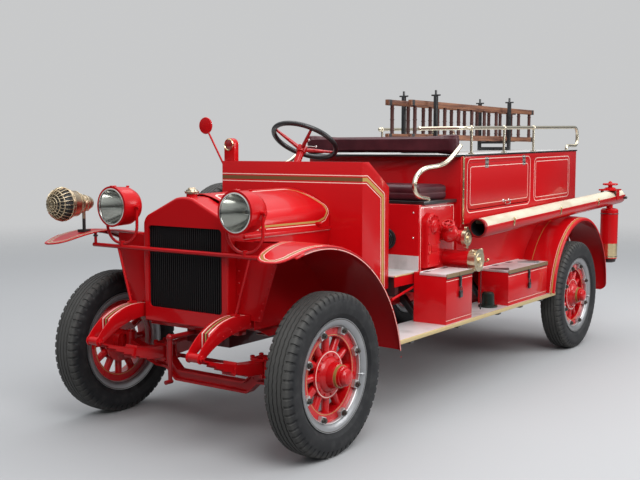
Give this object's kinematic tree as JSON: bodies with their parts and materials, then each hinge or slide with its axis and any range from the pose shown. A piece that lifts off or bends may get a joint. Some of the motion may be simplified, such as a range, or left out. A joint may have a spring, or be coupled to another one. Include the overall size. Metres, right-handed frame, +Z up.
{
  "type": "fire engine",
  "caption": "Open-cab motor fire engine of the 1920s with a brass-trimmed body, hose troughs and wooden ladders in gallows.",
  "frame": {"origin": "on the ground, below the middle of the vehicle's length and width", "axes": "+X forward along the vehicle, +Y to its left side, +Z up from the ground"},
  "size_m": [4.908, 1.76, 1.925],
  "materials": {
    "black_paint": "gloss",
    "brass": "polished",
    "bright_metal": "polished",
    "dark_red_paint": "gloss",
    "hose_canvas": "matt canvas",
    "iron": "dull",
    "ladder_wood": "oiled, worn",
    "lamp_glass": "clear",
    "maroon_leather": "satin",
    "polished_plate": "polished",
    "red_paint": "deep gloss",
    "red_paint_wheels": "gloss",
    "tread_plate": "brushed, worn",
    "tyre_rubber": "matt"
  },
  "bodies": {
    "chassis": {"back_cushion": "maroon_leather", "board_brackets": "black_paint", "body_deck": "polished_plate", "body_panels": "red_paint", "cab_fittings": "red_paint", "cab_floor": "tread_plate", "chassis_rails": "red_paint", "cross_members": "red_paint", "engine_block": "iron", "engine_sides": "red_paint", "front_axle": "dark_red_paint", "front_wings": "red_paint", "handrails": "brass", "hose_troughs": "red_paint", "ladder_gallows": "black_paint", "ladders": "ladder_wood", "lamp_glasses": "lamp_glass", "lamps": "bright_metal", "leaf_springs": "dark_red_paint", "lower_body": "red_paint", "pump_fittings": "red_paint", "radiator_core": "black_paint", "radiator_shell": "red_paint", "rear_axle": "dark_red_paint", "rear_fittings": "red_paint", "rear_wings": "red_paint", "running_boards": "tread_plate", "scuttle": "red_paint", "seat_boards": "black_paint", "seat_box": "red_paint", "seat_cushion": "maroon_leather", "siren": "brass", "spare_tyre": "tyre_rubber", "spare_wheel": "red_paint_wheels", "starting_crank": "iron", "steering_column": "red_paint", "suction_hoses": "hose_canvas", "tool_boxes": "red_paint", "tow_eye": "iron", "valances": "red_paint"},
    "wheel_front_left": {"wheel_front_left": "red_paint_wheels", "tyre_front_left": "tyre_rubber"},
    "wheel_front_right": {"wheel_front_right": "red_paint_wheels", "tyre_front_right": "tyre_rubber"},
    "wheel_rear_left": {"wheel_rear_left": "red_paint_wheels", "tyre_rear_left": "tyre_rubber"},
    "wheel_rear_right": {"wheel_rear_right": "red_paint_wheels", "tyre_rear_right": "tyre_rubber"},
    "knuckle_left": {"knuckle_left": "dark_red_paint"},
    "knuckle_right": {"knuckle_right": "dark_red_paint"},
    "tie_rod": {"tie_rod": "black_paint"},
    "steering_wheel": {"steering_wheel": "black_paint"},
    "bonnet_left": {"bonnet_left": "red_paint"},
    "bonnet_right": {"bonnet_right": "red_paint"},
    "flap_left": {"flap_left": "red_paint"},
    "flap_right": {"flap_right": "red_paint"},
    "lid_front_left": {"lid_front_left": "tread_plate"},
    "lid_rear_left": {"lid_rear_left": "tread_plate"},
    "lid_rear_right": {"lid_rear_right": "tread_plate"}
  },
  "joints": [
    {"name": "steer_left", "type": "hinge", "parent": "chassis", "child": "knuckle_left", "pos_m": [1.916, 0.62, 0.407], "axis": [0, 0, 1], "range_deg": [-30, 30]},
    {"name": "steer_right", "type": "hinge", "parent": "chassis", "child": "knuckle_right", "pos_m": [1.916, -0.62, 0.407], "axis": [0, 0, 1], "range_deg": [-30, 30]},
    {"name": "tie_rod_swing", "type": "hinge", "parent": "knuckle_left", "child": "tie_rod", "pos_m": [1.746, 0.62, 0.327], "axis": [0, 0, 1], "range_deg": [-30, 30]},
    {"name": "steering_wheel_turn", "type": "hinge", "parent": "chassis", "child": "steering_wheel", "pos_m": [0.646, -0.32, 1.565], "axis": [-0.515, 0, 0.8572], "range_deg": [-360, 360]},
    {"name": "spin_front_left", "type": "hinge", "parent": "knuckle_left", "child": "wheel_front_left", "pos_m": [1.916, 0.735, 0.407], "axis": [0, 1, 0], "continuous": true},
    {"name": "spin_front_right", "type": "hinge", "parent": "knuckle_right", "child": "wheel_front_right", "pos_m": [1.916, -0.735, 0.407], "axis": [0, 1, 0], "continuous": true},
    {"name": "spin_rear_left", "type": "hinge", "parent": "chassis", "child": "wheel_rear_left", "pos_m": [-1.342, 0.742, 0.407], "axis": [0, 1, 0], "continuous": true},
    {"name": "spin_rear_right", "type": "hinge", "parent": "chassis", "child": "wheel_rear_right", "pos_m": [-1.342, -0.742, 0.407], "axis": [0, 1, 0], "continuous": true},
    {"name": "bonnet_left_lift", "type": "hinge", "parent": "chassis", "child": "bonnet_left", "pos_m": [1.621, 0.0025, 1.282], "axis": [0.9999, 0, -0.016], "range_deg": [0, 50]},
    {"name": "flap_left_lift", "type": "hinge", "parent": "chassis", "child": "flap_left", "pos_m": [-0.3715, 0.6, 1.43023], "axis": [0.9998, 0, -0.0181], "range_deg": [0, 90]},
    {"name": "bonnet_right_lift", "type": "hinge", "parent": "chassis", "child": "bonnet_right", "pos_m": [1.621, -0.0025, 1.282], "axis": [-0.9999, 0, 0.016], "range_deg": [0, 50]},
    {"name": "flap_right_lift", "type": "hinge", "parent": "chassis", "child": "flap_right", "pos_m": [-0.3715, -0.6, 1.43023], "axis": [-0.9998, 0, 0.0181], "range_deg": [0, 90]},
    {"name": "lid_front_left_lift", "type": "hinge", "parent": "chassis", "child": "lid_front_left", "pos_m": [0.584, 0.606, 0.7803], "axis": [1, 0, 0], "range_deg": [0, 60]},
    {"name": "lid_rear_left_lift", "type": "hinge", "parent": "chassis", "child": "lid_rear_left", "pos_m": [-0.448, 0.566, 0.7153], "axis": [1, 0, 0], "range_deg": [0, 85]},
    {"name": "lid_rear_right_lift", "type": "hinge", "parent": "chassis", "child": "lid_rear_right", "pos_m": [-0.448, -0.566, 0.7153], "axis": [-1, 0, 0], "range_deg": [0, 85]}
  ],
  "couplings": [
    {"joint": "steer_right", "follows": "steer_left", "ratio": 1},
    {"joint": "tie_rod_swing", "follows": "steer_left", "ratio": -1},
    {"joint": "steering_wheel_turn", "follows": "steer_left", "ratio": 12}
  ]
}
